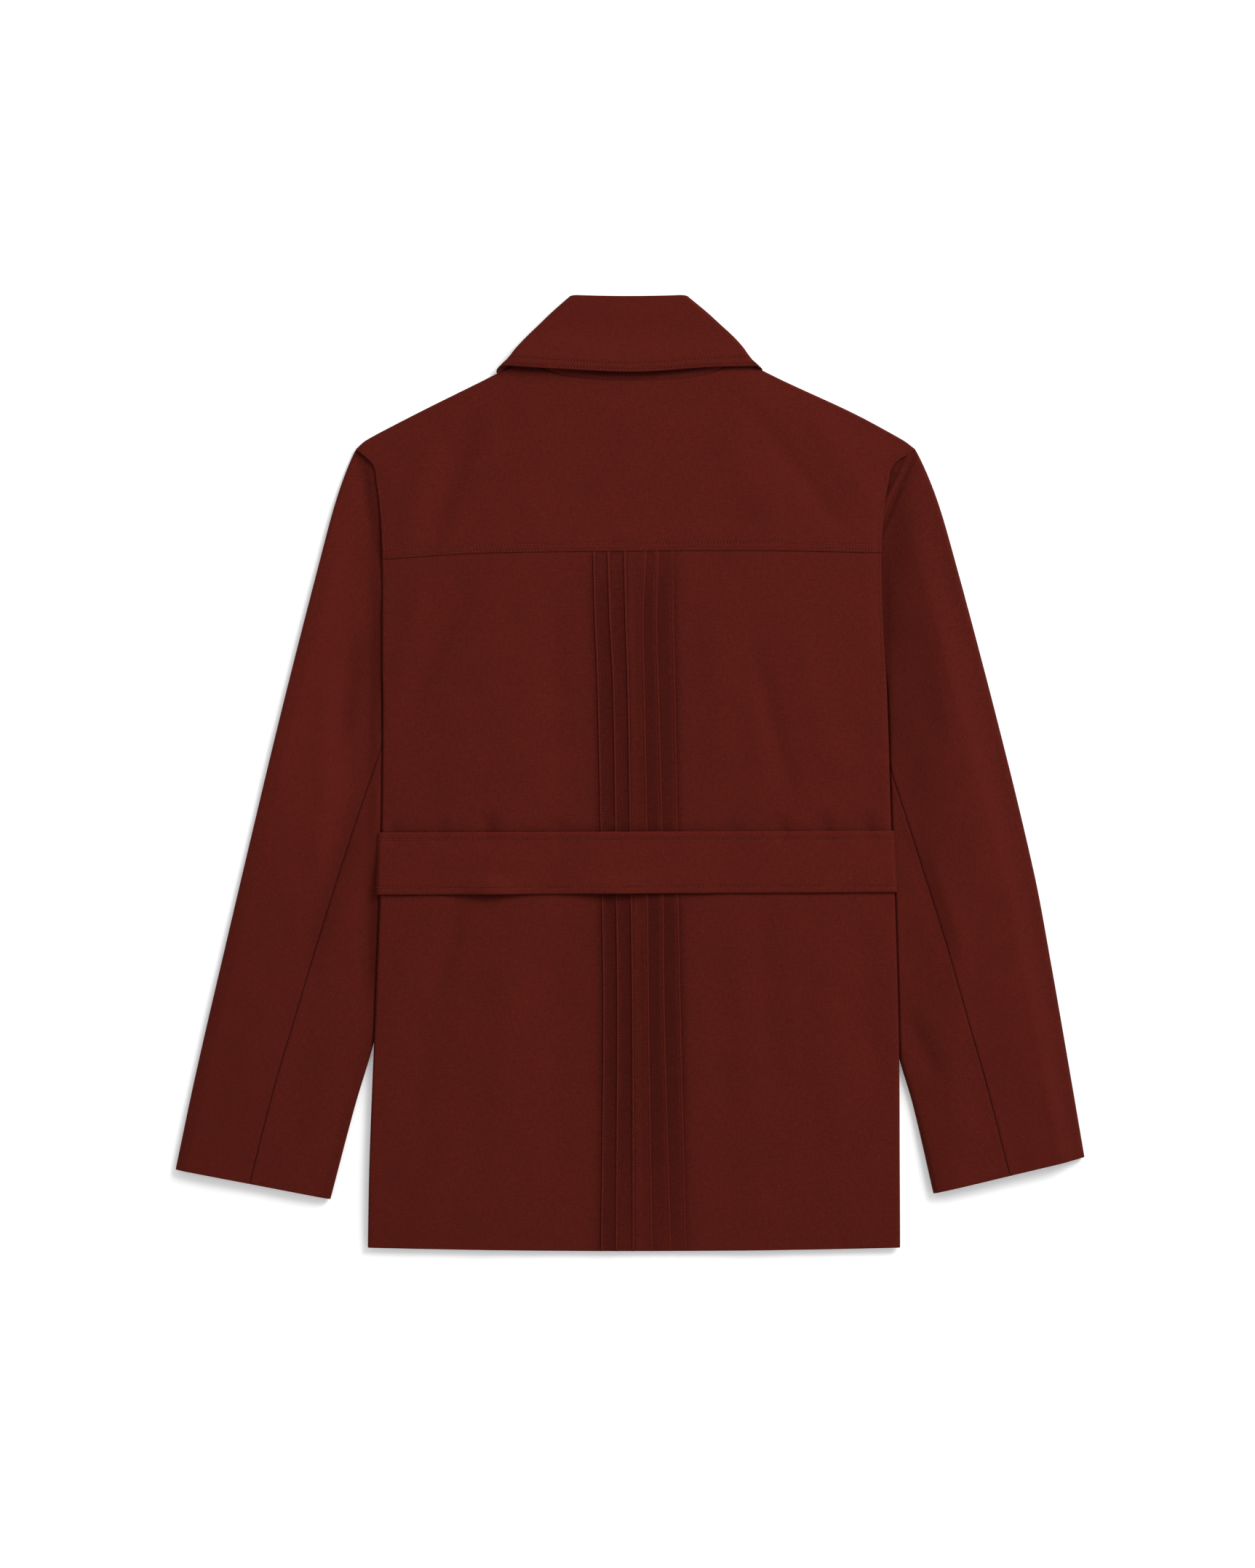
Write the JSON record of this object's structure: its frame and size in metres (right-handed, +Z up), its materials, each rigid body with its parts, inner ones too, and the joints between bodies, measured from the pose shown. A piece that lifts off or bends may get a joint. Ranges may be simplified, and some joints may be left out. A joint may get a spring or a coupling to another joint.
{
  "type": "safari jacket",
  "caption": "Safari jacket laid flat on its front: yoked back with stitched tucks, a half belt at the waist, a folded collar and long two-piece sleeves.",
  "frame": {"origin": "on the surface the jacket lies on, at the middle of its outline seen from above", "axes": "+Z up from the surface, +Y towards the collar, +X to the right as seen from above"},
  "size_m": [0.764, 0.804, 0.0105],
  "materials": {
    "rust_cloth": "matte plain-woven wool-like cloth, rust red with a fine heathered weave and tone-on-tone topstitching"
  },
  "bodies": {
    "root": {"back_yoke": "rust_cloth", "back_panel": "rust_cloth", "back_belt": "rust_cloth", "collar_leaf": "rust_cloth", "collar_stand": "rust_cloth", "front_left": "rust_cloth", "front_right": "rust_cloth", "sleeve_upper_left": "rust_cloth", "sleeve_under_left": "rust_cloth", "sleeve_upper_right": "rust_cloth", "sleeve_under_right": "rust_cloth"}
  },
  "joints": []
}
